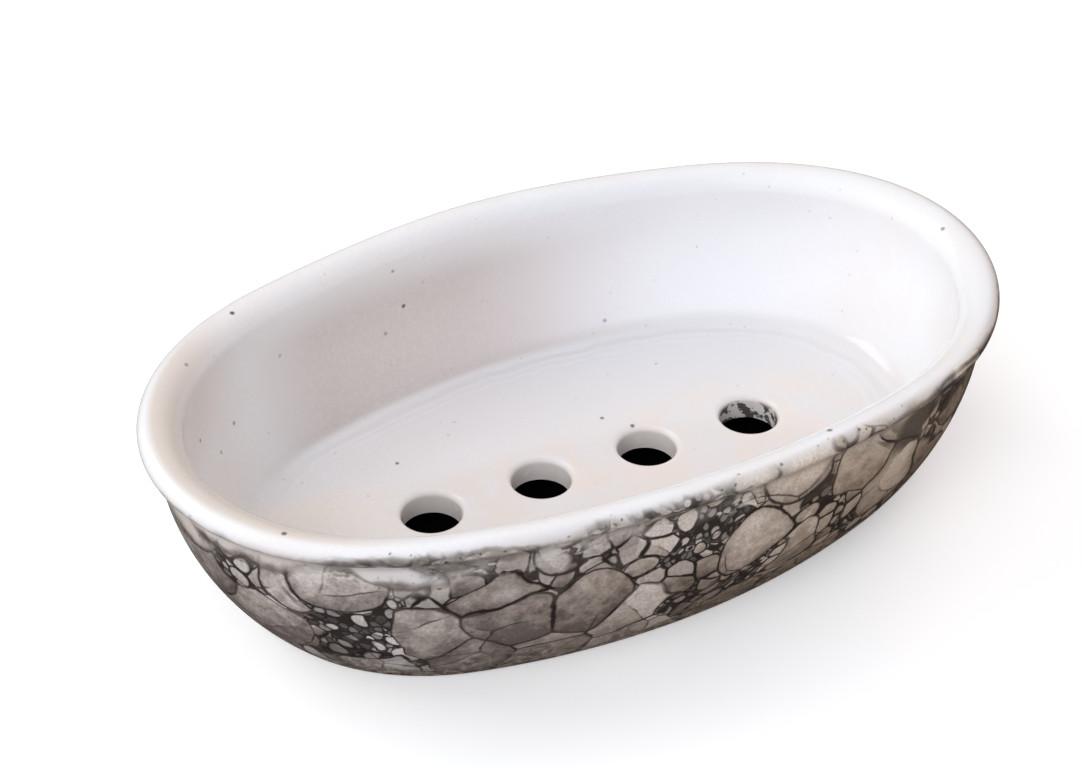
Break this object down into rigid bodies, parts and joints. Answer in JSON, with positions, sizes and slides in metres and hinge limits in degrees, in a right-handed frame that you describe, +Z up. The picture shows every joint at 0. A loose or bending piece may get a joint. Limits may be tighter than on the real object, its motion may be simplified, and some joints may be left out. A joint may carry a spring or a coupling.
{
  "type": "soap dish",
  "caption": "Oval glazed stoneware soap dish with a rolled lip, a bowed wall, a row of drain holes in its floor and a foot ring.",
  "frame": {"origin": "on the table, under the middle of the dish's bounding box", "axes": "+X along the dish's length and its row of drain holes, +Y across it, +Z up"},
  "size_m": [0.14, 0.084, 0.0364],
  "materials": {
    "fired_clay": "unglazed stoneware, matte",
    "foot_clay": "unglazed stoneware, wiped and ground flat",
    "white_glaze": "glossy white glaze with a few iron specks",
    "patterned_glaze": "glossy pale glaze with rings and washes left by charcoal bubbles"
  },
  "bodies": {
    "root": {"stoneware_body": "fired_clay", "foot_ring": "foot_clay", "liner_glaze": "white_glaze", "bubble_glaze": "patterned_glaze"}
  },
  "joints": []
}
